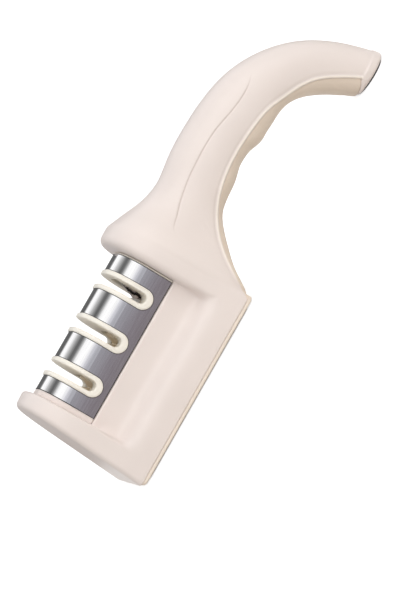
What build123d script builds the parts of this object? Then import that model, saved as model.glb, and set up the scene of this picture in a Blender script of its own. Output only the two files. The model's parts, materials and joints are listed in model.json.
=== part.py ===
from build123d import *
import math
import os

os.makedirs("parts", exist_ok=True)

# A pull-through knife sharpener with a curved handle, in millimetres.
# The handle runs along +X, a knife is drawn through along Y, and +Z is up.
# The origin is the centre of the base, on the table.

# Base, pedestal and end walls
base_width = 50.0
base_tail = 2.5
corner_radius = 3.0
flange_height = 13.6
flange_round = 1.6
shelf_height = 18.3
shelf_dip = 1.1
deck_height = 31.4
pedestal_width = 34.0
pedestal_round = 0.6
front_wall_height = 59.7
front_wall_depth = 11.7
front_wall_lean = 4.2
front_wall_round = 2.4
bay_edge_round = 1.4
rear_wall_height = 63.7
rear_wall_depth = 8.0
rear_wall_round = 3.2

# Handle and shells
handle_length = 121.0
shell_foot = 0.4
shell_wall = 2.4
seam_height = 2.2
seam_gap = 0.15
grip_step = 0.35
overrun = 6.0

# Slots, which set the bay's length
slot_count = 3
slot_pitch = 20.65
slot_setback = 14.0
slot_end = 13.0
bay_length = slot_setback + slot_pitch * (slot_count - 1) + slot_end
base_length = front_wall_depth + bay_length + rear_wall_depth + base_tail

# Places along the length
front_x = -base_length / 2
rear_x = base_length / 2
bay_front = front_x + front_wall_depth
bay_rear = bay_front + bay_length
root_x = bay_rear + rear_wall_depth

# Fullness of an outline's quarters: 0.55 is an ellipse, and 1 is nearly square
wall_fullness_share = 0.784
wall_corner = 1.4
cap_steps = 4

# Stations of the handle, from the rear wall to the tip. Places are shares of the handle's length
# and of the rear wall's height, for the upper point and then the lower point of each section.
# The fifth is a share of half the base's width, and the last two are the fullness above and below.
station_shares = [
    (0.000, 1.000, 0.000, 0.000, 1.000, 0.784, 1.000),
    (0.033, 0.972, 0.040, 0.050, 0.968, 0.784, 1.000),
    (0.079, 0.935, 0.076, 0.146, 0.852, 0.760, 0.980),
    (0.124, 0.899, 0.127, 0.238, 0.742, 0.710, 0.870),
    (0.169, 0.876, 0.178, 0.324, 0.672, 0.690, 0.780),
    (0.219, 0.867, 0.229, 0.389, 0.634, 0.670, 0.710),
    (0.298, 0.886, 0.298, 0.415, 0.622, 0.665, 0.690),
    (0.424, 0.897, 0.424, 0.449, 0.632, 0.665, 0.690),
    (0.554, 0.881, 0.554, 0.407, 0.640, 0.665, 0.690),
    (0.671, 0.830, 0.641, 0.396, 0.624, 0.665, 0.690),
    (0.869, 0.574, 0.744, 0.273, 0.563, 0.662, 0.687),
    (0.915, 0.455, 0.766, 0.216, 0.537, 0.645, 0.670),
    (0.978, 0.187, 0.803, 0.092, 0.492, 0.607, 0.636),
    (1.003, 0.006, 0.825, 0.006, 0.470, 0.585, 0.610),
]
core_stations = len(station_shares) - 1

# Seam between the shells, from the base's rear edge to the collar at the tip, in the same shares.
# The collar belongs to the upper shell, and its edge runs on to a foot on the table side.
seam_shares = [
    (0.0410, 0.137),
    (0.0820, 0.245),
    (0.1260, 0.338),
    (0.1940, 0.434),
    (0.2810, 0.506),
    (0.4120, 0.542),
    (0.5420, 0.529),
    (0.6054, 0.506),
    (0.6715, 0.453),
    (0.7376, 0.392),
    (0.7855, 0.324),
    (0.8318, 0.209),
    (0.8558, 0.134),
    (0.8748, 0.065),
]
collar_foot_share = 0.8153

# Sharpening module, with its heights counted from the deck
module_gap = 0.2
module_width = 32.0
module_rise = 24.1
module_round = 12.0
steel_thickness = 0.5
steel_gap = 0.1
front_strip = 2.7
rear_strip = 0.8
steel_ledge = 0.4
slot_width = 4.6
slot_sill = 6.0
rim_width = 8.8
rim_sill = 3.0
rim_rise = 0.7
slot_centres = [bay_front + slot_setback + slot_pitch * place for place in range(slot_count)]
fine_x, coarse_x, blade_x = slot_centres
module_height = deck_height + module_rise
slot_floor = deck_height + slot_sill
rim_floor = deck_height + rim_sill

# Lower box of the module, which drops through the deck
box_width = 21.2
box_depth = 7.0
box_gap = 0.3
pocket_length = 14.0
pocket_width = 16.0
box_wall = 2.0
box_rear_wall = 1.0
box_floor = deck_height - box_depth

# Wheels and axles
axle_rise = 4.0
axle_radius = 1.25
axle_length = 18.0
running_gap = 0.05
bore_gap = 0.02
wheel_radius = 7.0
wheel_clearance = 1.0
hub_radius = 3.0
notch_inner_radius = 2.6
notch_inner_place = 0.35
notch_outer_place = 1.9
rim_end_place = 4.6
rim_chamfer = 0.8
hub_end_place = 6.2
washer_thickness = 0.5
washer_radius = 2.8
spacer_gap = 0.05
axle_height = deck_height + axle_rise

# Crossed carbide blades
notch_rise = 8.0
blade_lean = 20.0
blade_thickness = 1.5
blade_width = 3.0
blade_depth = 4.0
blade_rise = 18.5
blade_gap = 0.1
holder_length = 12.2
holder_width = 10.0
holder_top_gap = 0.4
holder_gap = 0.2
blade_roof_gap = 1.0
notch_height = deck_height + notch_rise
blade_foot = deck_height - blade_depth
blade_top = deck_height + blade_rise
blade_pocket_roof = blade_top + blade_roof_gap

# Keeper plate under the module, and the screws
keeper_thickness = 2.0
keeper_inset = 0.3
post_length = 1.6
post_width = 2.4
keeper_screw_radius = 0.9
keeper_head_radius = 1.8
keeper_head_height = 1.0
keeper_screw_length = 7.0
keeper_screw_spread = 5.0
module_screw_radius = 1.0
module_head_radius = 2.1
module_head_height = 1.3
module_screw_length = 8.4
module_screw_setback = 2.45
module_screw_inset = 7.0
shell_screw_radius = 1.3
shell_head_radius = 2.8
shell_head_height = 1.4
shell_screw_length = 7.4
shell_screw_setback = 4.0
shell_screw_inset = 7.0
shell_screw_seat = 2.7
collar_radius = 4.2
collar_top = 4.4
boss_radius = 3.2
boss_gap = 0.1
thread_gap = 0.05
hole_gap = 0.2
hole_relief = 0.4
recess_width_share = 0.22
recess_length_share = 1.1
recess_depth_share = 0.55
head_chamfer_share = 0.22

# Pads that meet the table
sole_thickness = 1.0
sole_recess = 0.6
sole_inset = 4.0
sole_radius = 3.0
pad_gap = 0.15
tip_pad_thickness = 1.6
tip_pad_inset = 1.9


def in_handle(x_share, z_share):
    """A point on the middle plane, from shares of the handle's length and the wall's height."""
    x = root_x + x_share * handle_length
    z = shell_foot + z_share * (rear_wall_height - shell_foot)
    return Vector(x, 0, z)


def section_plane(low, high):
    """The plane of a section, whose second direction runs from the low point to the high point."""
    rise = (high - low).normalized()
    return Plane(origin=(low + high) / 2, x_dir=(0, 1, 0), z_dir=Vector(0, 1, 0).cross(rise))


def handle_section(low, high, half_width, top_fullness, low_fullness, inset):
    """A rounded section of the handle in four quarters, drawn in by the inset."""
    width = half_width - inset
    height = (high - low).length / 2 - inset
    with BuildSketch(section_plane(low, high)) as outline:
        with BuildLine():
            for across, up, fullness in (
                (1, 1, top_fullness),
                (-1, 1, top_fullness),
                (-1, -1, low_fullness),
                (1, -1, low_fullness),
            ):
                side = (across * width, 0)
                end = (0, up * height)
                side_handle = (across * width, up * height * fullness)
                end_handle = (across * width * fullness, up * height)
                if across == up:
                    Bezier(side, side_handle, end_handle, end)
                else:
                    Bezier(end, end_handle, side_handle, side)
        make_face()
    return outline.sketch


def wall_section(low, high, inset):
    """An end wall's outline: an arch on straight sides with small corners at its foot."""
    width = base_width / 2 - inset
    height = (high - low).length / 2 - inset
    full = wall_fullness_share
    with BuildSketch(section_plane(low, high)) as outline:
        with BuildLine():
            Bezier((width, 0), (width, height * full), (width * full, height), (0, height))
            Bezier((0, height), (-width * full, height), (-width, height * full), (-width, 0))
            Line((-width, 0), (-width, wall_corner - height))
            TangentArc((-width, wall_corner - height), (wall_corner - width, -height), tangent=(0, -1))
            Line((wall_corner - width, -height), (width - wall_corner, -height))
            TangentArc((width - wall_corner, -height), (width, wall_corner - height), tangent=(1, 0))
            Line((width, wall_corner - height), (width, 0))
        make_face()
    return outline.sketch


def wall_cap(low, high, radius, into, inset):
    """The rounded edge of a wall's face, from the face inwards. Into is 1 or -1 along the normal."""
    normal = Vector(0, 1, 0).cross((high - low).normalized())
    with BuildPart() as piece:
        for step in range(cap_steps + 1):
            turn = math.pi / 2 * step / cap_steps
            shift = normal * (into * radius * (1 - math.cos(turn)))
            drawn_in = inset + radius * (1 - math.sin(turn))
            add(wall_section(low + shift, high + shift, drawn_in))
        loft()
    return piece.part


def wall(start_low, start_high, end_low, end_high, inset):
    """The straight middle of a wall, between two sections."""
    with BuildPart() as piece:
        for low, high in ((start_low, start_high), (end_low, end_high)):
            add(wall_section(low, high, inset))
        loft(ruled=True)
    return piece.part


def front_wall(inset):
    """The front wall, whose outer face leans back."""
    lean_low = Vector(front_x + inset, 0, shell_foot)
    lean_high = Vector(front_x + inset + front_wall_lean, 0, front_wall_height)
    face_low = Vector(bay_front, 0, shell_foot)
    face_high = Vector(bay_front, 0, front_wall_height)
    normal = Vector(0, 1, 0).cross((lean_high - lean_low).normalized())
    front_shift = normal * front_wall_round
    bay_shift = Vector(-bay_edge_round, 0, 0)
    with BuildPart() as piece:
        add(wall_cap(lean_low, lean_high, front_wall_round, 1, inset))
        add(
            wall(
                lean_low + front_shift,
                lean_high + front_shift,
                face_low + bay_shift,
                face_high + bay_shift,
                inset,
            )
        )
        add(wall_cap(face_low, face_high, bay_edge_round, -1, inset))
    return piece.part


def rear_wall(inset):
    """The rear wall, rounded towards the bay and open to the handle."""
    low = Vector(bay_rear, 0, shell_foot)
    high = Vector(bay_rear, 0, rear_wall_height)
    shift = Vector(rear_wall_round, 0, 0)
    depth = Vector(rear_wall_depth, 0, 0)
    with BuildPart() as piece:
        add(wall_cap(low, high, rear_wall_round, 1, inset))
        add(wall(low + shift, high + shift, low + depth, high + depth, inset))
    return piece.part


def handle(inset, stations):
    """The handle, lofted through the first stations."""
    with BuildPart() as piece:
        for high_x, high_z, low_x, low_z, width, top_fullness, low_fullness in station_shares[:stations]:
            low = in_handle(low_x, low_z)
            high = in_handle(high_x, high_z)
            half_width = width * base_width / 2
            add(handle_section(low, high, half_width, top_fullness, low_fullness, inset))
        loft()
    return piece.part


def base_block(inset):
    """Flange, hollowed shelf and pedestal, with the base's rounded plan."""
    half = base_width / 2 - inset
    pedestal = pedestal_width / 2 - inset
    with BuildPart() as piece:
        with BuildSketch(Plane.YZ.offset(front_x + front_wall_lean)) as profile:
            with BuildLine():
                foot = shell_foot + inset
                Polyline((0, foot), (half, foot), (half, flange_height))
                SagittaArc((half, flange_height), (pedestal, shelf_height), -shelf_dip)
                Polyline((pedestal, shelf_height), (pedestal, deck_height), (0, deck_height), (0, foot))
            make_face()
            outer = profile.vertices().group_by(Axis.X)[-1]
            fillet(outer.sort_by(Axis.Y)[-1], flange_round)
            deck_corner = profile.vertices().group_by(Axis.Y)[-1].sort_by(Axis.X)[-1]
            fillet(deck_corner, pedestal_round)
            mirror(about=Plane.YZ)
        extrude(amount=base_length - front_wall_lean - inset)
        with BuildSketch(Plane.XY):
            RectangleRounded(base_length - 2 * inset, base_width - 2 * inset, corner_radius)
        extrude(amount=deck_height, mode=Mode.INTERSECT)
    return piece.part


def outer_body(inset):
    """The whole outside of the two shells as one solid."""
    with BuildPart() as piece:
        add(base_block(inset))
        add(front_wall(inset))
        add(rear_wall(inset))
        add(handle(inset, len(station_shares)))
    return piece.part


def handle_core():
    """The hollow inside the rear wall and the handle."""
    with BuildPart() as piece:
        start_low = Vector(bay_rear + shell_wall, 0, shell_foot)
        start_high = Vector(bay_rear + shell_wall, 0, rear_wall_height)
        end_low = Vector(root_x, 0, shell_foot)
        end_high = Vector(root_x, 0, rear_wall_height)
        add(wall(start_low, start_high, end_low, end_high, shell_wall))
        add(handle(shell_wall, core_stations))
    return piece.part


def base_core():
    """The hollow inside the flange, the pedestal and the front wall."""
    with BuildPart() as piece:
        core_front = front_x + shell_wall + front_wall_lean * flange_height / front_wall_height
        core_length = rear_x - shell_wall - core_front
        with BuildSketch(Plane.XY):
            with Locations((core_front + core_length / 2, 0)):
                Rectangle(core_length, base_width - 2 * shell_wall)
        extrude(amount=flange_height - shell_wall)
        with BuildSketch(Plane.XY):
            with Locations((bay_front + bay_length / 2, 0)):
                Rectangle(bay_length, pedestal_width - 2 * shell_wall)
        extrude(amount=deck_height - shell_wall)
        start_low = Vector(front_x + shell_wall, 0, shell_foot)
        start_high = Vector(front_x + shell_wall + front_wall_lean, 0, front_wall_height)
        end_low = Vector(bay_front - shell_wall, 0, shell_foot)
        end_high = Vector(bay_front - shell_wall, 0, front_wall_height)
        add(wall(start_low, start_high, end_low, end_high, shell_wall))
    return piece.part


def below_seam(gap):
    """Everything under the seam, raised by the gap."""
    seam_start = (root_x, seam_height + gap)
    curve = [seam_start]
    for x_share, z_share in seam_shares[:-1]:
        place = in_handle(x_share, z_share)
        curve.append((place.X, place.Z + gap))
    corner = in_handle(*seam_shares[-1])
    curve.append((corner.X + 2 * gap, corner.Z + gap))
    collar_foot_x = in_handle(collar_foot_share, 0).X + 2 * gap
    with BuildPart() as piece:
        with BuildSketch(Plane.XZ):
            with BuildLine():
                Spline(*curve)
                Polyline(
                    curve[-1],
                    (collar_foot_x, 0),
                    (collar_foot_x, -overrun),
                    (front_x - overrun, -overrun),
                    (front_x - overrun, seam_height + gap),
                    seam_start,
                )
            make_face()
        extrude(amount=base_width, both=True)
    return piece.part


def slot_prisms(width, floor):
    """One prism a slot, round at the bottom and open at the top, run right across the module."""
    with BuildPart() as piece:
        for centre in slot_centres:
            with BuildSketch(Plane.XZ):
                with Locations((centre, floor + width / 2)):
                    Circle(width / 2)
                rise = module_height + overrun - floor - width / 2
                with Locations((centre, floor + width / 2 + rise / 2)):
                    Rectangle(width, rise)
            extrude(amount=module_width, both=True)
    return piece.part


def module_arch(start, end, grow, foot):
    """The module's arched outline run along X, grown or drawn in all round."""
    half = module_width / 2 + grow
    top = module_height + grow
    bend = module_round + grow
    with BuildPart() as piece:
        with BuildSketch(Plane.YZ.offset(start)):
            with BuildLine():
                Polyline((0, foot), (half, foot), (half, top - bend))
                TangentArc((half, top - bend), (half - bend, top), tangent=(0, 1))
                Polyline((half - bend, top), (0, top), (0, foot))
            make_face()
            mirror(about=Plane.YZ)
        extrude(amount=end - start)
    return piece.part


def block(x_span, y_span, z_span):
    """A plain block between named places."""
    with BuildPart() as piece:
        with BuildSketch(Plane.XY.offset(z_span[0])):
            with Locations(((x_span[0] + x_span[1]) / 2, (y_span[0] + y_span[1]) / 2)):
                Rectangle(x_span[1] - x_span[0], y_span[1] - y_span[0])
        extrude(amount=z_span[1] - z_span[0])
    return piece.part


def posts(places, radius, foot, top):
    """Round posts or holes at the same places."""
    with BuildPart() as piece:
        with BuildSketch(Plane.XY.offset(foot)):
            with Locations(*places):
                Circle(radius)
        extrude(amount=top - foot)
    return piece.part


def rod(centre, length, outer, inner):
    """A round rod or ring on an axle's line, centred at a place along X."""
    with BuildPart() as piece:
        with BuildSketch(Plane.YZ.offset(centre - length / 2)):
            with Locations((0, axle_height)):
                Circle(outer)
                if inner > 0:
                    Circle(inner, mode=Mode.SUBTRACT)
        extrude(amount=length)
    return piece.part


def screws(places, seat, head_radius, head_height, shank_radius, shank_length):
    """Cross-recessed screws driven upwards, with their heads under the seat."""
    with BuildPart() as group:
        with BuildSketch(Plane.XY.offset(seat - head_height)):
            with Locations(*places):
                Circle(head_radius)
        extrude(amount=head_height)
        rims = group.edges().filter_by(GeomType.CIRCLE).group_by(Axis.Z)[0]
        chamfer(rims, head_height * head_chamfer_share)
        with BuildSketch(Plane.XY.offset(seat)):
            with Locations(*places):
                Circle(shank_radius)
        extrude(amount=shank_length)
        with BuildSketch(Plane.XY.offset(seat - head_height)):
            with Locations(*places):
                Rectangle(head_radius * recess_length_share, head_radius * recess_width_share)
                Rectangle(head_radius * recess_width_share, head_radius * recess_length_share)
        extrude(amount=head_height * recess_depth_share, mode=Mode.SUBTRACT)
    return group.part


def blade_plate(lean_side, face_y, thickness, grow):
    """A carbide plate behind a face, with its inner edge on one side of the notch."""
    lean = math.radians(blade_lean)
    along = Vector(lean_side * math.sin(lean), math.cos(lean))
    out = Vector(lean_side * math.cos(lean), -math.sin(lean))
    notch = Vector(blade_x, notch_height)
    foot = notch + along * ((blade_foot - notch_height) / math.cos(lean)) - out * grow
    top = notch + along * ((blade_top - notch_height) / math.cos(lean)) - out * grow
    width = out * (blade_width + 2 * grow)
    with BuildPart() as piece:
        with BuildSketch(Plane.XZ.offset(-face_y)):
            with BuildLine():
                Polyline(foot, top, top + width, foot + width, close=True)
            make_face()
        extrude(amount=thickness)
    return piece.part


keeper_places = [
    ((slot_centres[place] + slot_centres[place + 1]) / 2, side * keeper_screw_spread)
    for place in range(slot_count - 1)
    for side in (-1, 1)
]
module_screw_places = [
    (place, side * (module_width / 2 - module_screw_inset))
    for place in (bay_front + module_screw_setback, bay_rear - module_screw_setback)
    for side in (-1, 1)
]
shell_screw_places = [
    (place, side * (base_width / 2 - shell_screw_inset))
    for place in (bay_front + shell_screw_setback, bay_rear - shell_screw_setback)
    for side in (-1, 1)
]
box_front = fine_x - pocket_length / 2 - box_wall
box_rear = blade_x + holder_length / 2 + holder_gap + box_rear_wall
keeper_floor = box_floor - keeper_thickness
tip_low = in_handle(station_shares[-1][2], station_shares[-1][3])
tip_high = in_handle(station_shares[-1][0], station_shares[-1][1])
tip_middle = (tip_low + tip_high) / 2
tip_half_length = (tip_high - tip_low).length / 2
tip_half_width = station_shares[-1][4] * base_width / 2


def tip_disc(grow, foot, top):
    """The foot set into the handle's tip, or its recess."""
    with BuildPart() as piece:
        with BuildSketch(Plane.XY.offset(foot)):
            with Locations((tip_middle.X, 0)):
                Ellipse(tip_half_length - tip_pad_inset + grow, tip_half_width - tip_pad_inset + grow)
        extrude(amount=top - foot)
    return piece.part


def sole_sheet(grow, foot, top):
    """The non-slip sheet under the base, or its recess."""
    with BuildPart() as piece:
        with BuildSketch(Plane.XY.offset(foot)):
            length = base_length - 2 * sole_inset + 2 * grow
            width = base_width - 2 * sole_inset + 2 * grow
            RectangleRounded(length, width, sole_radius + grow)
        extrude(amount=top - foot)
    return piece.part


# Upper shell: base, end walls and the top of the handle
with BuildPart() as upper_shell:
    add(outer_body(0))
    add(base_core(), mode=Mode.SUBTRACT)
    add(handle_core(), mode=Mode.SUBTRACT)
    add(below_seam(seam_gap), mode=Mode.SUBTRACT)
    boss_foot = collar_top + boss_gap
    ceiling = flange_height - shell_wall / 2
    add(posts(shell_screw_places, boss_radius, boss_foot, ceiling))
    screw_end = shell_screw_seat + shell_screw_length
    add(
        posts(shell_screw_places, shell_screw_radius + thread_gap, boss_foot, screw_end + hole_relief),
        mode=Mode.SUBTRACT,
    )
    deck_span = (deck_height - shell_wall - overrun, deck_height + overrun)
    opening_half = box_width / 2 + box_gap
    add(
        block((box_front - box_gap, box_rear + box_gap), (-opening_half, opening_half), deck_span),
        mode=Mode.SUBTRACT,
    )
    add(
        posts(module_screw_places, module_screw_radius + hole_gap, *deck_span),
        mode=Mode.SUBTRACT,
    )
    add(tip_disc(pad_gap, -overrun, tip_pad_thickness), mode=Mode.SUBTRACT)
upper_shell.part.label = "upper_shell"
export_step(upper_shell.part, "parts/upper_shell.step")

# Lower shell: base plate and the underside of the handle
with BuildPart() as lower_shell:
    add(outer_body(grip_step))
    add(below_seam(0), mode=Mode.INTERSECT)
    add(handle_core(), mode=Mode.SUBTRACT)
    add(posts(shell_screw_places, collar_radius, seam_height - shell_foot, collar_top))
    add(sole_sheet(pad_gap, -overrun, shell_foot + sole_recess), mode=Mode.SUBTRACT)
    add(
        posts(shell_screw_places, shell_head_radius + hole_gap, -overrun, shell_screw_seat),
        mode=Mode.SUBTRACT,
    )
    add(
        posts(shell_screw_places, shell_screw_radius + hole_gap, -overrun, collar_top + overrun),
        mode=Mode.SUBTRACT,
    )
    add(tip_disc(pad_gap, -overrun, tip_pad_thickness), mode=Mode.SUBTRACT)
lower_shell.part.label = "lower_shell"
export_step(lower_shell.part, "parts/lower_shell.step")

# Pads
with BuildPart() as sole_pad:
    add(sole_sheet(0, 0, sole_thickness))
sole_pad.part.label = "sole_pad"
export_step(sole_pad.part, "parts/sole_pad.step")

with BuildPart() as tip_pad:
    add(tip_disc(0, 0, tip_pad_thickness))
tip_pad.part.label = "tip_pad"
export_step(tip_pad.part, "parts/tip_pad.step")

# Module body: arched block, end strips, slot rims and the box through the deck
module_front = bay_front + module_gap
module_rear = bay_rear - module_gap
with BuildPart() as module_body:
    add(module_arch(module_front, module_rear, rim_rise, deck_height))
    add(slot_prisms(rim_width, rim_floor), mode=Mode.INTERSECT)
    add(module_arch(module_front, module_rear, -steel_thickness - steel_gap, deck_height))
    add(module_arch(module_front, module_front + front_strip, 0, deck_height))
    add(module_arch(module_rear - rear_strip, module_rear, 0, deck_height))
    half_box = box_width / 2
    add(block((box_front, box_rear), (-half_box, half_box), (box_floor, deck_height + steel_ledge)))
    add(slot_prisms(slot_width, slot_floor), mode=Mode.SUBTRACT)
    for centre in (fine_x, coarse_x):
        pocket_roof = axle_height + wheel_radius + wheel_clearance
        add(
            block(
                (centre - pocket_length / 2, centre + pocket_length / 2),
                (-pocket_width / 2, pocket_width / 2),
                (box_floor - overrun, pocket_roof),
            ),
            mode=Mode.SUBTRACT,
        )
        saddle = axle_radius + running_gap
        notch_length = axle_length + 2 * running_gap
        notch_half = notch_length / 2
        add(
            block(
                (centre - notch_half, centre + notch_half),
                (-saddle, saddle),
                (box_floor - overrun, axle_height),
            ),
            mode=Mode.SUBTRACT,
        )
        add(rod(centre, notch_length, saddle, 0), mode=Mode.SUBTRACT)
    holder_half = holder_length / 2 + holder_gap
    pocket_half = holder_width / 2 + holder_gap
    add(
        block(
            (blade_x - holder_half, blade_x + holder_half),
            (-pocket_half, pocket_half),
            (box_floor - overrun, slot_floor + holder_gap),
        ),
        mode=Mode.SUBTRACT,
    )
    add(
        block(
            (blade_x - pocket_length / 2, blade_x + pocket_length / 2),
            (-pocket_half, pocket_half),
            (slot_floor, blade_pocket_roof),
        ),
        mode=Mode.SUBTRACT,
    )
    add(
        posts(
            keeper_places,
            keeper_screw_radius + thread_gap,
            box_floor - overrun,
            keeper_floor + keeper_head_height + keeper_screw_length + hole_relief,
        ),
        mode=Mode.SUBTRACT,
    )
    add(
        posts(
            module_screw_places,
            module_screw_radius + thread_gap,
            deck_height - overrun,
            deck_height - shell_wall + module_screw_length + hole_relief,
        ),
        mode=Mode.SUBTRACT,
    )
module_body.part.label = "module_body"
export_step(module_body.part, "parts/module_body.step")

# Steel cover: bent sheet with three slots
with BuildPart() as steel_cover:
    cover_front = module_front + front_strip + steel_gap
    cover_rear = module_rear - rear_strip - steel_gap
    cover_foot = deck_height + steel_ledge
    add(module_arch(cover_front, cover_rear, 0, cover_foot))
    add(
        module_arch(cover_front - overrun, cover_rear + overrun, -steel_thickness, cover_foot - overrun),
        mode=Mode.SUBTRACT,
    )
    add(slot_prisms(rim_width + 2 * steel_gap, rim_floor - steel_gap), mode=Mode.SUBTRACT)
steel_cover.part.label = "steel_cover"
export_step(steel_cover.part, "parts/steel_cover.step")

# Keeper plate, with a post under each axle end
with BuildPart() as module_keeper:
    keeper_half = box_width / 2 - keeper_inset
    keeper_span = (box_front + keeper_inset, box_rear - keeper_inset)
    add(block(keeper_span, (-keeper_half, keeper_half), (keeper_floor, box_floor)))
    post_top = axle_height - axle_radius - running_gap
    post_half = post_length / 2
    for centre in (fine_x, coarse_x):
        for side in (-1, 1):
            post_x = centre + side * (pocket_length + axle_length) / 4
            add(
                block(
                    (post_x - post_half, post_x + post_half),
                    (-post_width / 2, post_width / 2),
                    (keeper_floor, post_top),
                )
            )
    add(
        posts(keeper_places, keeper_screw_radius + hole_gap, keeper_floor - overrun, box_floor + overrun),
        mode=Mode.SUBTRACT,
    )
    add(
        posts(
            keeper_places,
            keeper_head_radius + hole_gap,
            keeper_floor - overrun,
            keeper_floor + keeper_head_height,
        ),
        mode=Mode.SUBTRACT,
    )
module_keeper.part.label = "module_keeper"
export_step(module_keeper.part, "parts/module_keeper.step")

# Wheel stages: two bevelled wheels on one axle, with a spacer between and a washer outside each
for stage, centre in (("fine", fine_x), ("coarse", coarse_x)):
    for name, side in (("front", -1), ("rear", 1)):
        with BuildPart() as wheel:
            with BuildSketch(Plane.XZ):
                with BuildLine():
                    corners = [
                        (notch_inner_place, axle_radius + bore_gap),
                        (notch_inner_place, notch_inner_radius),
                        (notch_outer_place, wheel_radius),
                        (rim_end_place, wheel_radius),
                        (rim_end_place + rim_chamfer, wheel_radius - rim_chamfer),
                        (rim_end_place + rim_chamfer, hub_radius),
                        (hub_end_place, hub_radius),
                        (hub_end_place, axle_radius + bore_gap),
                    ]
                    Polyline(
                        *[(centre + side * place, axle_height + radius) for place, radius in corners],
                        close=True,
                    )
                make_face()
            revolve(axis=Axis((centre, 0, axle_height), (1, 0, 0)))
        wheel.part.label = f"{stage}_wheel_{name}"
        export_step(wheel.part, f"parts/{stage}_wheel_{name}.step")

    with BuildPart() as axle:
        add(rod(centre, axle_length, axle_radius, 0))
    axle.part.label = f"{stage}_axle"
    export_step(axle.part, f"parts/{stage}_axle.step")

    with BuildPart() as spacer:
        spacer_length = 2 * (notch_inner_place - spacer_gap)
        add(rod(centre, spacer_length, notch_inner_radius, axle_radius + bore_gap))
    spacer.part.label = f"{stage}_spacer"
    export_step(spacer.part, f"parts/{stage}_spacer.step")

    with BuildPart() as washers:
        for side in (-1, 1):
            washer_x = centre + side * (hub_end_place + washer_thickness / 2)
            add(rod(washer_x, washer_thickness, washer_radius, axle_radius + bore_gap))
    washers.part.label = f"{stage}_washers"
    export_step(washers.part, f"parts/{stage}_washers.step")

# Carbide blades, side by side across the slot and crossed at the notch
for name, side in (("near", -1), ("far", 1)):
    with BuildPart() as blade:
        face_y = -blade_gap if side < 0 else blade_gap + blade_thickness
        add(blade_plate(side, face_y, blade_thickness, 0))
    blade.part.label = f"carbide_blade_{name}"
    export_step(blade.part, f"parts/carbide_blade_{name}.step")

# Blade holder: block with a slanted channel for each blade
with BuildPart() as blade_holder:
    holder_top = slot_floor - holder_top_gap
    half_length = holder_length / 2
    half_width = holder_width / 2
    holder_span = (blade_x - half_length, blade_x + half_length)
    add(block(holder_span, (-half_width, half_width), (box_floor, holder_top)))
    for side in (-1, 1):
        face_y = bore_gap if side < 0 else blade_gap + blade_thickness + bore_gap
        channel = blade_plate(side, face_y, blade_thickness + blade_gap + 2 * bore_gap, bore_gap)
        add(channel, mode=Mode.SUBTRACT)
blade_holder.part.label = "blade_holder"
export_step(blade_holder.part, "parts/blade_holder.step")

# Fasteners
keeper_seat = keeper_floor + keeper_head_height
with BuildPart() as keeper_screws:
    add(
        screws(
            keeper_places,
            keeper_seat,
            keeper_head_radius,
            keeper_head_height,
            keeper_screw_radius,
            keeper_screw_length,
        )
    )
keeper_screws.part.label = "keeper_screws"
export_step(keeper_screws.part, "parts/keeper_screws.step")

with BuildPart() as module_screws:
    add(
        screws(
            module_screw_places,
            deck_height - shell_wall,
            module_head_radius,
            module_head_height,
            module_screw_radius,
            module_screw_length,
        )
    )
module_screws.part.label = "module_screws"
export_step(module_screws.part, "parts/module_screws.step")

with BuildPart() as shell_screws:
    add(
        screws(
            shell_screw_places,
            shell_screw_seat,
            shell_head_radius,
            shell_head_height,
            shell_screw_radius,
            shell_screw_length,
        )
    )
shell_screws.part.label = "shell_screws"
export_step(shell_screws.part, "parts/shell_screws.step")
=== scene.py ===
import json
import math

import bmesh
import bpy
import numpy as np
from mathutils import Matrix, Vector

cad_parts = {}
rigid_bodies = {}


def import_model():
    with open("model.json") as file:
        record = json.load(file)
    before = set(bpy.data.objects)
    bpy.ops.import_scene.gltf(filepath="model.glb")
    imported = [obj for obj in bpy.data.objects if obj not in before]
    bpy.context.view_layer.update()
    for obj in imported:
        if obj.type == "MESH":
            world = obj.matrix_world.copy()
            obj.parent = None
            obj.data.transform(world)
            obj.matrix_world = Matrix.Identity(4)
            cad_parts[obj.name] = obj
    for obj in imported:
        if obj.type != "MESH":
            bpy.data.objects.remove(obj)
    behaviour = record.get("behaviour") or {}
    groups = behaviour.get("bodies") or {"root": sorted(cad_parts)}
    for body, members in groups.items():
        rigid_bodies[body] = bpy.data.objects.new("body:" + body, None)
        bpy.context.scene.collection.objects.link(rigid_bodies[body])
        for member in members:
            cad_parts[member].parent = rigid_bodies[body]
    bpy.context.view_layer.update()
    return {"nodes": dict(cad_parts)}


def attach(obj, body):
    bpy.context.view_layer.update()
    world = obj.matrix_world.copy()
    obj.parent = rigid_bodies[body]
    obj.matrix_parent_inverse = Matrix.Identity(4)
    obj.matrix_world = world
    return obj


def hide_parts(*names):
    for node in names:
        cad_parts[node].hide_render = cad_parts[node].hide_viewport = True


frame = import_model()
scene = bpy.context.scene
scene.view_settings.view_transform = "Standard"

MM = 0.001

# Camera, as in the photograph: a long lens, low from the front, rolled about its own axis
IMAGE_SIZE = (401, 601)
VIEW_AZIMUTH = -6.5
VIEW_ELEVATION = 10.2
VIEW_ROLL = 59.0
MM_PER_PIXEL = 0.4152
ORIGIN_PIXEL = (188.6, 392.0)
LENS = 180.0
SENSOR = 36.0
CLIP_REACH = 100


def link(obj):
    scene.collection.objects.link(obj)
    return obj


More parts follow.
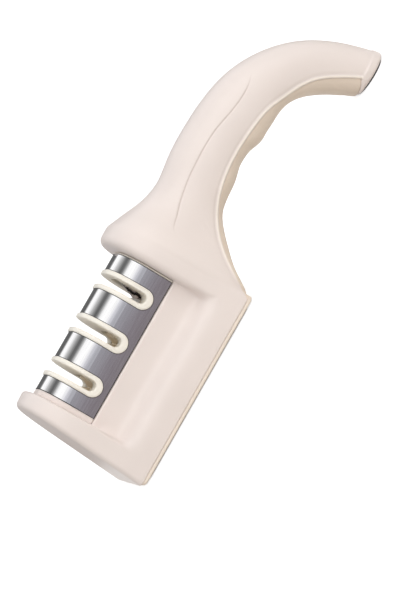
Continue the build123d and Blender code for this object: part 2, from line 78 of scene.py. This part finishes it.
def make_camera():
    azimuth = math.radians(VIEW_AZIMUTH)
    elevation = math.radians(VIEW_ELEVATION)
    roll = math.radians(VIEW_ROLL)
    back = Vector((
        math.sin(azimuth) * math.cos(elevation),
        -math.cos(azimuth) * math.cos(elevation),
        math.sin(elevation),
    ))
    level_right = Vector((math.cos(azimuth), math.sin(azimuth), 0))
    level_up = back.cross(level_right)
    right = level_right * math.cos(roll) - level_up * math.sin(roll)
    up = level_right * math.sin(roll) + level_up * math.cos(roll)
    pixel = MM_PER_PIXEL * MM
    target = right * ((IMAGE_SIZE[0] / 2 - ORIGIN_PIXEL[0]) * pixel)
    target += up * ((ORIGIN_PIXEL[1] - IMAGE_SIZE[1] / 2) * pixel)
    distance = IMAGE_SIZE[1] * pixel * LENS / SENSOR
    data = bpy.data.cameras.new("camera")
    data.lens = LENS
    data.sensor_width = SENSOR
    data.clip_start = distance / CLIP_REACH
    data.clip_end = distance * CLIP_REACH
    camera = link(bpy.data.objects.new("camera", data))
    axes = Matrix((right, up, back)).transposed().to_4x4()
    camera.matrix_world = Matrix.Translation(target + back * distance) @ axes
    scene.camera = camera


make_camera()


# Materials
NOISE_REACH = (0.3, 0.7)


class Graph:
    """A material's nodes, added one at a time and linked as they are made."""

    def __init__(self, name):
        self.material = bpy.data.materials.new(name)
        self.material.use_nodes = True
        self.tree = self.material.node_tree
        self.shader = self.tree.nodes["Principled BSDF"]
        self.place = self.tree.nodes.new("ShaderNodeTexCoord").outputs["Object"]

    def node(self, kind, inputs=(), **settings):
        made = self.tree.nodes.new(kind)
        for key, value in settings.items():
            setattr(made, key, value)
        for key, value in dict(inputs).items():
            if isinstance(value, bpy.types.NodeSocket):
                self.tree.links.new(value, made.inputs[key])
            else:
                made.inputs[key].default_value = value
        return made

    def noise(self, scale, stretch=(1, 1, 1), detail=3.0, rough=0.55):
        mapping = self.node("ShaderNodeMapping", {"Vector": self.place, "Scale": stretch})
        settings = {"Vector": mapping.outputs[0], "Scale": scale, "Detail": detail, "Roughness": rough}
        return self.node("ShaderNodeTexNoise", settings).outputs[0]

    def ramp(self, factor, stops):
        ramp = self.node("ShaderNodeValToRGB", {"Fac": factor})
        fill_ramp(ramp.color_ramp, stops)
        return ramp.outputs["Color"]

    def span(self, factor, low, high):
        """The middle of a noise's reach, spread between two values."""
        settings = {"Value": factor, "To Min": low, "To Max": high}
        settings["From Min"], settings["From Max"] = NOISE_REACH
        return self.node("ShaderNodeMapRange", settings).outputs[0]

    def feed(self, name, socket):
        self.tree.links.new(socket, self.shader.inputs[name])

    def bump(self, height, depth, strength=1.0):
        settings = {"Height": height, "Distance": depth, "Strength": strength}
        self.feed("Normal", self.node("ShaderNodeBump", settings).outputs[0])


def fill_ramp(ramp, stops):
    while len(ramp.elements) < len(stops):
        ramp.elements.new(0.5)
    for element, (place, color) in zip(ramp.elements, stops):
        element.position = place
        element.color = (*color, 1) if isinstance(color, tuple) else (color, color, color, 1)


def tint(color, factor):
    return tuple(min(value * factor, 1.0) for value in color)


def with_painted_light(graph, color):
    """Paints a highlight along the bead of a lip and paints shade into the crease on the handle."""
    painted_light = graph.node("ShaderNodeAttribute", attribute_name="painted_light").outputs["Fac"]
    lip = graph.node("ShaderNodeMixRGB", {"Fac": painted_light, "Color1": color, "Color2": BEAD_HIGHLIGHT_COLOR}).outputs[0]
    crease_shade_share = graph.node("ShaderNodeMath", {0: painted_light, 1: -1.0}, operation="MULTIPLY").outputs[0]
    return graph.node("ShaderNodeMixRGB", {"Fac": crease_shade_share, "Color1": lip, "Color2": CREASE_SHADE_COLOR}).outputs[0]


def front_strip(graph, color):
    """The strip at the front end of the insert has the body's colour."""
    x = graph.node("ShaderNodeSeparateXYZ", {0: graph.place}).outputs["X"]
    settings = {"Value": x, "From Min": STRIP_END * MM, "From Max": (STRIP_END + STRIP_BLUR) * MM}
    beyond = graph.node("ShaderNodeMapRange", settings).outputs[0]
    return graph.node("ShaderNodeMixRGB", {"Fac": beyond, "Color1": (*BODY, 1), "Color2": color}).outputs[0]


def plastic(name, color, rough, mottle=0.02, grain=2200.0, depth=0.012, overlay=None):
    """Moulded plastic: a faint cloudiness, an uneven sheen and a fine satin grain."""
    graph = Graph(name)
    graph.shader.inputs["Specular IOR Level"].default_value = 0.4
    cloud = graph.noise(38.0, detail=2.0)
    tone = graph.ramp(cloud, [(0.3, tint(color, 1 - mottle)), (0.7, tint(color, 1 + mottle))])
    graph.feed("Base Color", overlay(graph, tone) if overlay else tone)
    graph.feed("Roughness", graph.span(graph.noise(210.0, detail=4.0), rough - 0.05, rough + 0.05))
    graph.bump(graph.noise(grain, detail=2.0), depth * MM, 0.5)
    return graph.material


def metal(name, color, rough, stretch, scale, depth, spread=0.05, metallic=1.0, blend=0.25):
    """Metal with fine marks that run along the axis that the stretch makes small."""
    graph = Graph(name)
    graph.shader.inputs["Metallic"].default_value = metallic
    marks = graph.noise(scale, stretch, detail=5.0, rough=0.6)
    tones = [(0.5 - blend, tint(color, 1 - spread)), (0.5 + blend, tint(color, 1 + spread))]
    graph.feed("Base Color", graph.ramp(marks, tones))
    graph.feed("Roughness", graph.span(marks, rough * 0.8, rough * 1.2))
    graph.bump(marks, depth * MM, 0.4)
    return graph.material


def grit(name, color, sparkle, rough, scale, depth):
    """A sintered or ground surface of separate grains."""
    graph = Graph(name)
    cells = graph.node("ShaderNodeTexVoronoi", {"Vector": graph.place, "Scale": scale})
    graph.feed("Base Color", graph.ramp(cells.outputs["Distance"], [(0.1, sparkle), (0.6, color)]))
    graph.feed("Roughness", graph.span(graph.noise(scale * 0.7), rough - 0.1, rough + 0.1))
    graph.bump(cells.outputs["Distance"], depth * MM, 0.6)
    return graph.material


BODY = (0.825, 0.74, 0.70)
# Painted highlight colour for the bead and painted shade colour for the crease
BEAD_HIGHLIGHT_COLOR = (0.97, 0.89, 0.79, 1)
CREASE_SHADE_COLOR = (0.40, 0.30, 0.26, 1)
STRIP_END = -30.85
STRIP_BLUR = 0.2
# The body's own colour, with a painted highlight along the bead and painted shade in the crease
body_plastic = plastic("body_plastic", BODY, 0.40, overlay=with_painted_light)
# The lower shell's warmer tan is partly painted shade: it stands in for the warm shade on the handle's underside
grip_plastic_painted_shade = plastic("grip_plastic_painted_shade", (0.83, 0.715, 0.61), 0.5, overlay=with_painted_light)
cream_plastic = plastic("cream_plastic", (0.91, 0.865, 0.78), 0.38, grain=2600.0, overlay=front_strip)
inner_plastic = plastic("inner_plastic", (0.60, 0.47, 0.34), 0.5, mottle=0.05)
# Painted shade: the dark of the shadowed gaps round the steel cover
gap_shadow_black = plastic("gap_shadow_black", (0.03, 0.028, 0.03), 0.6, mottle=0.1)
steel = metal("steel", (0.94, 0.935, 0.94), 0.09, (0.05, 1, 1), 1700.0, 0.0018, spread=0.06)
screw_steel = metal("screw_steel", (0.62, 0.62, 0.63), 0.34, (1, 1, 0.1), 1800.0, 0.006)
axle_chrome = metal("axle_chrome", (0.78, 0.78, 0.79), 0.16, (0.05, 1, 1), 1600.0, 0.004)
carbide = metal("carbide", (0.40, 0.36, 0.35), 0.3, (1, 1, 0.5), 650.0, 0.02, spread=0.9, metallic=0.6, blend=0.05)
ground_carbide = metal("ground_carbide", (0.90, 0.90, 0.92), 0.3, (1, 1, 0.5), 900.0, 0.02, spread=0.3, metallic=0.2)
# The wheels' warm tan is partly painted shade: it stands in for the dim, warm light inside the slots
ceramic = grit("ceramic", (0.90, 0.78, 0.60), (0.94, 0.86, 0.74), 0.55, 5200.0, 0.02)
diamond = grit("diamond", (0.84, 0.72, 0.54), (0.92, 0.84, 0.70), 0.5, 4200.0, 0.04)
sole_rubber = plastic("sole_rubber", (0.45, 0.40, 0.36), 0.75, mottle=0.1, grain=900.0, depth=0.05)
foot_rubber = plastic("foot_rubber", (0.045, 0.045, 0.05), 0.5, mottle=0.1, grain=1200.0, depth=0.03)

looks = {
    "sole_pad": sole_rubber, "tip_pad": foot_rubber, "steel_cover": steel, "module_keeper": inner_plastic,
    "blade_holder": inner_plastic, "carbide_blade_near": ground_carbide, "carbide_blade_far": carbide,
    "keeper_screws": screw_steel, "module_screws": screw_steel, "shell_screws": screw_steel,
}
for stage, look in (("fine", ceramic), ("coarse", diamond)):
    looks[stage + "_wheel_front"] = look
    looks[stage + "_wheel_rear"] = look
    looks[stage + "_spacer"] = look
    looks[stage + "_axle"] = axle_chrome
    looks[stage + "_washers"] = axle_chrome
for node, look in looks.items():
    mesh = frame["nodes"][node].data
    mesh.materials.clear()
    mesh.materials.append(look)


# Moulded pieces: each is a dense copy of its node, with soft edges and the fine lines of the moulding
# Measures are in millimetres. A curve is a list of places along X and heights, drawn in the side view; the seam's
# are shares of the handle's length and of the rear wall's height. Strengths are of painted highlight or shade.
HANDLE_LENGTH = 121.0
SHELL_FOOT = 0.4
REAR_WALL_HEIGHT = 63.7
SEAM_HEIGHT = 2.35
BAY_FRONT = -33.55
BAY_REAR = 34.75
ROOT_X = 42.75
SEAM_SHARES = [
    (0.0410, 0.137), (0.0820, 0.245), (0.1260, 0.338), (0.1940, 0.434), (0.2810, 0.506), (0.4120, 0.542),
    (0.5420, 0.529), (0.6054, 0.506), (0.6715, 0.453), (0.7376, 0.392), (0.7855, 0.324), (0.8318, 0.209),
    (0.8558, 0.134), (0.8748, 0.065),
]
SEAM_GAP = 0.15
CREASE = [
    (50.6, 41.2), (51.6, 42.4), (57.1, 43.9), (63.5, 45.3), (70.0, 46.5), (76.6, 47.4), (82.8, 47.8), (88.0, 48.0),
    (93.5, 47.9), (98.9, 47.4), (104.1, 46.4), (110.7, 45.3), (116.5, 44.9), (120.5, 45.1), (124.1, 45.8),
    (127.5, 47.0),
]
COLLAR = [
    (141.4, 0.2), (144.4, 1.9), (146.6, 2.95), (148.0, 3.8), (149.6, 4.7), (152.0, 4.9), (156.0, 4.9), (160.0, 5.0),
    (166.0, 5.2),
]
TIP_MIDDLE = (153.4, 0)
TIP_START = 138
COLLAR_TOP = 9
BEAD_FOOT = 3.4
# Strengths of the painted highlight on the bead and the foot strip, and of the painted shade in the crease
BEAD_HIGHLIGHT_STRENGTH = 0.85
CREASE_SHADE_STRENGTH = 0.5
FOOT_HIGHLIGHT_STRENGTH = 0.4
BEAD_HEIGHT = 0.40
BEAD_GROOVE = 0.10
LIP_DROP = 0.32
CREASE_DEPTH = 0.24
COLLAR_STEP = 0.34
COLLAR_BEAD = 0.12
SEAM_CLOSING = 0.25
COLLAR_CLOSING = 0.3
TROUGH_SIDES = (16.0, 17.0)
TROUGH_FLOOR = (8.0, 13.0)
TROUGH_TOP = (24.0, 28.5)
FINGER_WAVES = [(104.5, 6.0, 0.8), (85.0, 7.0, 0.55)]
BEND_HEIGHT = 43.5
SHARP_ANGLE = 0.9
MERGE_GAP = 0.001


def curve_through(knots, steps):
    """A smooth line through the knots, drawn in the side view."""
    knots = np.array(knots, dtype=float)
    chord = np.concatenate([[0], np.cumsum(np.hypot(*np.diff(knots, axis=0).T))])
    count = len(knots)
    gaps = np.diff(chord)
    system = np.eye(count)
    right = np.zeros((count, 2))
    for row in range(1, count - 1):
        system[row, row - 1:row + 2] = gaps[row - 1], 2 * (gaps[row - 1] + gaps[row]), gaps[row]
        slopes = (knots[row + 1] - knots[row]) / gaps[row] - (knots[row] - knots[row - 1]) / gaps[row - 1]
        right[row] = 6 * slopes
    bends = np.linalg.solve(system, right)
    places = np.linspace(0, chord[-1], steps)
    span = np.clip(np.searchsorted(chord, places, side="right") - 1, 0, count - 2)
    gap = gaps[span][:, None]
    ahead = (places - chord[span])[:, None] / gap
    behind = 1 - ahead
    curve = behind * knots[span] + ahead * knots[span + 1]
    curve += ((behind ** 3 - behind) * bends[span] + (ahead ** 3 - ahead) * bends[span + 1]) * gap ** 2 / 6
    return curve


def seam_curve():
    knots = [(ROOT_X, SEAM_HEIGHT)]
    for x_share, z_share in SEAM_SHARES:
        z = SHELL_FOOT + z_share * (REAR_WALL_HEIGHT - SHELL_FOOT) + SEAM_GAP
        knots.append((ROOT_X + x_share * HANDLE_LENGTH, z))
    return curve_through(knots, 240)


def from_curve(points, curve):
    """Each point's distance above a side view curve, in millimetres, and its place along the curve, as a share."""
    best = np.full(len(points), np.inf)
    above = np.zeros(len(points))
    share = np.zeros(len(points))
    for step in range(len(curve) - 1):
        start, run = curve[step], curve[step + 1] - curve[step]
        length = np.hypot(*run)
        offset = points[:, (0, 2)] / MM - start
        along = np.clip(offset @ run / length ** 2, 0, 1)
        gap = offset - along[:, None] * run
        distance = np.hypot(gap[:, 0], gap[:, 1])
        near = distance < best
        best[near] = distance[near]
        side = np.sign(run[0] * offset[:, 1] - run[1] * offset[:, 0])
        above[near] = (side * distance)[near]
        share[near] = ((step + along) / (len(curve) - 1))[near]
    return above, share


def hump(value, centre, half):
    """One at the centre, falling softly to nothing at half the width on either side."""
    return np.clip(1 - ((value - centre) / half) ** 2, 0, 1) ** 2


def rise(value, low, high):
    """Nothing up to the low value, one from the high value, and a soft step between them."""
    step = np.clip((value - low) / (high - low), 0, 1)
    return step * step * (3 - 2 * step)


def read_mesh(mesh):
    points = np.empty(len(mesh.vertices) * 3)
    normals = np.empty(len(mesh.vertices) * 3)
    edges = np.empty(len(mesh.edges) * 2, dtype=np.int64)
    mesh.vertices.foreach_get("co", points)
    mesh.vertices.foreach_get("normal", normals)
    mesh.edges.foreach_get("vertices", edges)
    return points.reshape(-1, 3), normals.reshape(-1, 3), edges.reshape(-1, 2)


def write_mesh(mesh, points):
    mesh.vertices.foreach_set("co", points.ravel())
    mesh.update()


def soften(mesh, weight_of, turns):
    """Rounds edges by moving each vertex towards the middle of its neighbours."""
    points, _, edges = read_mesh(mesh)
    weight = weight_of(points)[:, None]
    count = np.bincount(edges.ravel(), minlength=len(points))[:, None]
    for _ in range(turns):
        total = np.zeros_like(points)
        for axis in range(3):
            total[:, axis] += np.bincount(edges[:, 0], points[edges[:, 1], axis], len(points))
            total[:, axis] += np.bincount(edges[:, 1], points[edges[:, 0], axis], len(points))
        points += (total / count - points) * weight
    write_mesh(mesh, points)


def evaluated(obj, modifier, **settings):
    """The object's mesh after one modifier."""
    made = obj.modifiers.new("step", modifier)
    for key, value in settings.items():
        setattr(made, key, value)
    graph = bpy.context.evaluated_depsgraph_get()
    mesh = bpy.data.meshes.new_from_object(obj.evaluated_get(graph))
    obj.modifiers.clear()
    return mesh


def moulded(name, node, look, voxel, steps, keep, painted_light=None):
    """A dense copy of a node, reshaped by the steps and then thinned out where it is smooth."""
    obj = link(bpy.data.objects.new(name, frame["nodes"][node].data.copy()))
    obj.data = evaluated(obj, "REMESH", mode="VOXEL", voxel_size=voxel * MM)
    for step in steps:
        step(obj.data)
    obj.data = evaluated(obj, "DECIMATE", ratio=keep)
    obj.data.materials.clear()
    obj.data.materials.append(look)
    for polygon in obj.data.polygons:
        polygon.use_smooth = True
    # Values that paint highlight and shade into the colour, kept as an attribute of the mesh
    if painted_light:
        marks = obj.data.attributes.new("painted_light", "FLOAT", "POINT")
        marks.data.foreach_set("value", painted_light(read_mesh(obj.data)[0]))
    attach(obj, "sharpener")
    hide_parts(node)


def everywhere(points):
    return np.ones(len(points))


def trough(points):
    """Where the bay's shelf runs softly into its pedestal and flange."""
    x, y, z = (points / MM).T
    inside = rise(x, BAY_FRONT - 2.0, BAY_FRONT + 1.5) * rise(-x, -BAY_REAR - 2.0, -BAY_REAR + 1.5)
    return inside * rise(np.abs(y), *TROUGH_SIDES) * rise(z, *TROUGH_FLOOR) * rise(-z, -TROUGH_TOP[1], -TROUGH_TOP[0])


def tip_edge(points):
    """The lowest edge of the handle's tip."""
    x, _, z = (points / MM).T
    return rise(x, 139, 141) * rise(-z, -3.2, -1.6)


def shell_lines(mesh):
    """The bead along the upper shell's lower lip, the crease on the handle's side and the collar at its tip."""
    points, normals, _ = read_mesh(mesh)
    facing = rise(normals[:, 1] * np.sign(points[:, 1]), 0.05, 0.35)
    move = np.zeros(len(points))
    drop = np.zeros(len(points))
    chosen = np.flatnonzero((facing > 0) & (points[:, 0] > (ROOT_X - 1) * MM))
    above, share = from_curve(points[chosen], seam_curve())
    fade = rise(share, 0.02, 0.12) * (points[chosen, 2] > BEAD_FOOT * MM)
    move[chosen] += fade * (BEAD_HEIGHT * hump(above, 0.5, 0.7) - BEAD_GROOVE * hump(above, 1.6, 0.8))
    drop[chosen] = fade * LIP_DROP * hump(above, 0, 0.8)
    above, share = from_curve(points[chosen], curve_through(CREASE, 160))
    fade = rise(share, 0.0, 0.15) * rise(-share, -1.0, -0.8)
    move[chosen] -= fade * CREASE_DEPTH * hump(above, 0, 0.5)
    points = points + normals * (move * facing * MM)[:, None]
    points[:, 2] -= drop * facing * MM
    write_mesh(mesh, points)
    tip_collar(mesh)


def tip_collar(mesh):
    """The collar round the foot, standing a little proud of the handle."""
    points, normals, _ = read_mesh(mesh)
    outwards = points[:, :2] / MM - TIP_MIDDLE
    outwards /= np.maximum(np.hypot(outwards[:, 0], outwards[:, 1]), 1e-6)[:, None]
    facing = rise((normals[:, :2] * outwards).sum(1), 0.1, 0.5)
    at_tip = (points[:, 0] > TIP_START * MM) & (points[:, 2] < COLLAR_TOP * MM)
    chosen = np.flatnonzero((facing > 0) & at_tip)
    above, share = from_curve(points[chosen], curve_through(COLLAR, 80))
    move = COLLAR_STEP * rise(-above, -0.3, 0.9)
    move += COLLAR_BEAD * hump(above, -0.9, 0.8) * rise(-share, -0.75, -0.5)
    points[chosen] += normals[chosen] * (move * facing[chosen] * MM)[:, None]
    write_mesh(mesh, points)


def upper_painted_light(points):
    """The painted highlight on the bead above the seam, as a positive value, and the painted shade in the crease, as
    a negative one.
    """
    painted_light = np.zeros(len(points))
    chosen = np.flatnonzero((np.abs(points[:, 1]) > 3 * MM) & (points[:, 0] > ROOT_X * MM))
    above, share = from_curve(points[chosen], seam_curve())
    fade = rise(share, 0.02, 0.12) * (points[chosen, 2] > BEAD_FOOT * MM)
    painted_light[chosen] = BEAD_HIGHLIGHT_STRENGTH * hump(above, 0.4, 0.6) * fade
    above, share = from_curve(points[chosen], curve_through(CREASE, 160))
    painted_light[chosen] -= CREASE_SHADE_STRENGTH * hump(above, 0, 0.42) * rise(share, 0.0, 0.1) * rise(-share, -1.0, -0.85)
    return painted_light


def lower_painted_light(points):
    """A painted highlight on the strip round the foot of the base."""
    x, _, z = (points / MM).T
    return FOOT_HIGHLIGHT_STRENGTH * rise(-x, -ROOT_X - 1.0, -ROOT_X + 1.0) * rise(z, 0.5, 0.9)


def close_seam(mesh):
    """Brings the lower shell's rim up to the upper shell and its end up to the collar."""
    points, _, _ = read_mesh(mesh)
    above, _ = from_curve(points, seam_curve())
    along = points[:, 0] / MM
    on_handle = rise(along, ROOT_X - 1.0, ROOT_X + 2.0)
    points[:, 2] += SEAM_CLOSING * MM * hump(above, -0.3, 0.9) * on_handle
    points[:, 2] += SEAM_CLOSING * MM * rise(points[:, 2] / MM, 1.2, 2.0) * (1 - on_handle)
    points[:, 0] += COLLAR_CLOSING * MM * rise(along, COLLAR[0][0] - 1.5, COLLAR[0][0] - 0.3)
    write_mesh(mesh, points)


def finger_waves(mesh):
    """Fills out the two finger waves under the handle, given as their middle, half length and depth."""
    points, normals, _ = read_mesh(mesh)
    fuller = sum(depth * hump(points[:, 0] / MM, middle, half) for middle, half, depth in FINGER_WAVES)
    points[:, 2] -= fuller * rise(-normals[:, 2], 0.1, 0.7) * MM
    write_mesh(mesh, points)


def softly(weight_of, turns):
    """The step that softens a mesh where the weight says so."""
    return lambda mesh: soften(mesh, weight_of, turns)


upper_steps = [softly(everywhere, 3), softly(trough, 130), softly(tip_edge, 16), shell_lines]
lower_steps = [softly(everywhere, 3), close_seam, finger_waves]
insert_steps = [softly(everywhere, 4)]
moulded("upper_skin", "upper_shell", body_plastic, voxel=0.34, steps=upper_steps, keep=0.3, painted_light=upper_painted_light)
moulded("lower_skin", "lower_shell", grip_plastic_painted_shade, voxel=0.36, steps=lower_steps, keep=0.4, painted_light=lower_painted_light)
moulded("slot_insert", "module_body", cream_plastic, voxel=0.28, steps=insert_steps, keep=0.4)


def merged(mesh):
    """The mesh for editing, with its vertices that lie together made one."""
    net = bmesh.new()
    net.from_mesh(mesh)
    bmesh.ops.remove_doubles(net, verts=net.verts, dist=MERGE_GAP * MM)
    return net


def gap_shadow_trim(name, node, radius, look):
    """A thin dark tube round the outer edges of a bent sheet: painted shade for the shadowed gap at its cut edges."""
    sheet = merged(frame["nodes"][node].data)
    places = []
    for edge in sheet.edges:
        if len(edge.link_faces) < 2 or edge.calc_face_angle() < SHARP_ANGLE:
            continue
        middle = (edge.verts[0].co + edge.verts[1].co) / 2
        outwards = Vector((0, middle.y, max(middle.z - BEND_HEIGHT * MM, 0))).normalized()
        if max(face.normal.dot(outwards) for face in edge.link_faces) > 0.6:
            places += [vert.co.copy() for vert in edge.verts]
    sheet.free()
    mesh = bpy.data.meshes.new(name)
    mesh.from_pydata(places, [(first, first + 1) for first in range(0, len(places), 2)], [])
    net = merged(mesh)
    net.to_mesh(mesh)
    net.free()
    shadow_tube = link(bpy.data.objects.new(name, mesh))
    bpy.context.view_layer.objects.active = shadow_tube
    for obj in scene.objects:
        obj.select_set(obj == shadow_tube)
    bpy.ops.object.convert(target="CURVE")
    shadow_tube.data.bevel_depth = radius * MM
    shadow_tube.data.bevel_resolution = 1
    bpy.ops.object.convert(target="MESH")
    shadow_tube.data.materials.append(look)
    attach(shadow_tube, "sharpener")


# A dark tube along the steel cover's edges, painted shade for the gap round it
gap_shadow_trim("cover_gap_shadow", "steel_cover", 0.15, gap_shadow_black)


# Stage: floor, cards, lights and world, in metres
STAGE_REACH = 6.0
FLAG_GAP = 0.09
FLAG_HEIGHT = 0.001
FLAG_RAMP = (0.40, 0.15)
FLOOR_COLOR = (0.62, 0.585, 0.53, 1)
MIRRORED_FLOOR = (0.6, 0.6, 0.6, 1)
FLOOR_GLOW = 0.72
LAMP_SIZE = 0.7
LAMP_TARGET = (0.03, 0, 0.03)
EVEN_LIGHT = 0.70
PANEL_LIGHT = 1.08
WHITE = (1, 1, 1, 1)


def seen_by(tree, names):
    """One when the ray is any of the named kinds."""
    path = tree.nodes.new("ShaderNodeLightPath")
    total = path.outputs[names[0]]
    for name in names[1:]:
        more = tree.nodes.new("ShaderNodeMath")
        more.operation = "MAXIMUM"
        tree.links.new(total, more.inputs[0])
        tree.links.new(path.outputs[name], more.inputs[1])
        total = more.outputs[0]
    return total


def flat_sheet(name, near, far, z):
    """A level sheet of the stage from near to far across, with an empty material."""
    reach = STAGE_REACH
    mesh = bpy.data.meshes.new(name)
    mesh.from_pydata([(-reach, near, z), (reach, near, z), (reach, far, z), (-reach, far, z)], [], [(0, 1, 2, 3)])
    obj = link(bpy.data.objects.new(name, mesh))
    material = bpy.data.materials.new(name)
    material.use_nodes = True
    material.node_tree.nodes.clear()
    mesh.materials.append(material)
    return obj, material.node_tree


def make_floor():
    """A pale floor that glows white where it is seen or mirrored and takes the object's shadow."""
    _, tree = flat_sheet("floor", -STAGE_REACH, STAGE_REACH, 0.0)
    nodes, links = tree.nodes, tree.links
    out = nodes.new("ShaderNodeOutputMaterial")
    add = nodes.new("ShaderNodeAddShader")
    diffuse = nodes.new("ShaderNodeBsdfDiffuse")
    shade = nodes.new("ShaderNodeMixRGB")
    shade.inputs[1].default_value = FLOOR_COLOR
    shade.inputs[2].default_value = MIRRORED_FLOOR
    links.new(shade.outputs[0], diffuse.inputs["Color"])
    glow = nodes.new("ShaderNodeEmission")
    level = nodes.new("ShaderNodeMath")
    level.operation = "MULTIPLY"
    level.inputs[1].default_value = FLOOR_GLOW
    seen = seen_by(tree, ("Is Camera Ray", "Is Glossy Ray", "Is Transmission Ray"))
    links.new(seen, level.inputs[0])
    links.new(seen, shade.inputs[0])
    links.new(level.outputs[0], glow.inputs["Strength"])
    links.new(diffuse.outputs[0], add.inputs[0])
    links.new(glow.outputs[0], add.inputs[1])
    links.new(add.outputs[0], out.inputs["Surface"])


def make_flag(name, near, far, sign):
    """A dark card lying beside the part, near (-1) or far (1), which only shiny surfaces show."""
    card, tree = flat_sheet(name, near, far, FLAG_HEIGHT)
    nodes, links = tree.nodes, tree.links
    out = nodes.new("ShaderNodeOutputMaterial")
    glow = nodes.new("ShaderNodeEmission")
    coord = nodes.new("ShaderNodeTexCoord")
    split = nodes.new("ShaderNodeSeparateXYZ")
    links.new(coord.outputs["Object"], split.inputs[0])
    span = nodes.new("ShaderNodeMapRange")
    span.inputs["From Min"].default_value = FLAG_RAMP[0] * sign
    span.inputs["From Max"].default_value = FLAG_RAMP[1] * sign
    links.new(split.outputs["Y"], span.inputs["Value"])
    ramp = nodes.new("ShaderNodeValToRGB")
    fill_ramp(ramp.color_ramp, [
        (0.0, (0.43, 0.43, 0.47)), (0.56, (0.31, 0.305, 0.335)), (0.59, (0.255, 0.235, 0.26)),
        (0.63, (0.225, 0.20, 0.225)), (0.69, (0.205, 0.18, 0.20)), (0.79, (0.20, 0.175, 0.19)),
        (0.86, (0.255, 0.225, 0.235)),
    ])
    links.new(span.outputs[0], ramp.inputs[0])
    links.new(ramp.outputs["Color"], glow.inputs["Color"])
    links.new(glow.outputs[0], out.inputs["Surface"])
    card.visible_camera = False
    card.visible_diffuse = False
    card.visible_transmission = False
    card.visible_shadow = False


make_floor()
make_flag("near_flag", -STAGE_REACH, -FLAG_GAP, -1)
make_flag("far_flag", FLAG_GAP, STAGE_REACH, 1)


def make_light(name, place, power):
    data = bpy.data.lights.new(name, "AREA")
    data.shape = "RECTANGLE"
    data.size = data.size_y = LAMP_SIZE
    data.energy = power
    lamp = link(bpy.data.objects.new(name, data))
    lamp.location = place
    lamp.rotation_euler = (Vector(place) - Vector(LAMP_TARGET)).to_track_quat("Z", "Y").to_euler()
    lamp.visible_glossy = False


make_light("key", (0.62, -0.72, 0.94), 3.8)
make_light("front_key", (0.25, -1.3, 0.5), 4.7)
make_light("back_fill", (-0.2, 1.3, 0.35), 3.5)


def make_world():
    """White to the camera, even light on the object, and bright panels with dark gaps for shiny surfaces."""
    world = bpy.data.worlds.new("studio")
    scene.world = world
    world.use_nodes = True
    tree = world.node_tree
    nodes, links = tree.nodes, tree.links
    nodes.clear()
    coord = nodes.new("ShaderNodeTexCoord")
    split = nodes.new("ShaderNodeSeparateXYZ")
    links.new(coord.outputs["Generated"], split.inputs[0])
    forward = nodes.new("ShaderNodeMath")
    forward.operation = "MULTIPLY"
    forward.inputs[1].default_value = -1
    links.new(split.outputs["Y"], forward.inputs[0])
    angle = nodes.new("ShaderNodeMath")
    angle.operation = "ARCTAN2"
    links.new(split.outputs["Z"], angle.inputs[0])
    links.new(forward.outputs[0], angle.inputs[1])
    turn = nodes.new("ShaderNodeMath")
    turn.operation = "DIVIDE"
    turn.inputs[1].default_value = math.pi
    links.new(angle.outputs[0], turn.inputs[0])
    ramp = nodes.new("ShaderNodeValToRGB")
    fill_ramp(ramp.color_ramp, [
        (0.0, (0.39, 0.39, 0.42)), (0.033, (0.44, 0.44, 0.48)), (0.078, (0.58, 0.58, 0.62)),
        (0.122, (0.75, 0.75, 0.78)),
        (0.167, 0.92), (0.211, 1.0), (0.290, 0.98), (0.330, 0.84), (0.362, 0.48), (0.395, 0.23), (0.433, 0.125),
        (0.478, 0.13), (0.522, 0.25), (0.567, 0.40), (0.611, 0.54), (0.656, 0.80), (0.70, 0.95), (0.795, 0.98),
        (0.833, 0.74), (0.878, 0.30), (0.921, 0.12), (0.955, 0.09), (0.985, 0.5),
    ])
    links.new(turn.outputs[0], ramp.inputs[0])
    out = nodes.new("ShaderNodeOutputWorld")
    even = nodes.new("ShaderNodeBackground")
    even.inputs["Strength"].default_value = EVEN_LIGHT
    even.inputs["Color"].default_value = WHITE
    white = nodes.new("ShaderNodeBackground")
    white.inputs["Color"].default_value = WHITE
    panels = nodes.new("ShaderNodeBackground")
    panels.inputs["Strength"].default_value = PANEL_LIGHT
    links.new(ramp.outputs["Color"], panels.inputs["Color"])
    for_metal = nodes.new("ShaderNodeMixShader")
    links.new(seen_by(tree, ("Is Glossy Ray",)), for_metal.inputs[0])
    links.new(even.outputs[0], for_metal.inputs[1])
    links.new(panels.outputs[0], for_metal.inputs[2])
    for_camera = nodes.new("ShaderNodeMixShader")
    links.new(seen_by(tree, ("Is Camera Ray",)), for_camera.inputs[0])
    links.new(for_metal.outputs[0], for_camera.inputs[1])
    links.new(white.outputs[0], for_camera.inputs[2])
    links.new(for_camera.outputs[0], out.inputs["Surface"])


make_world()
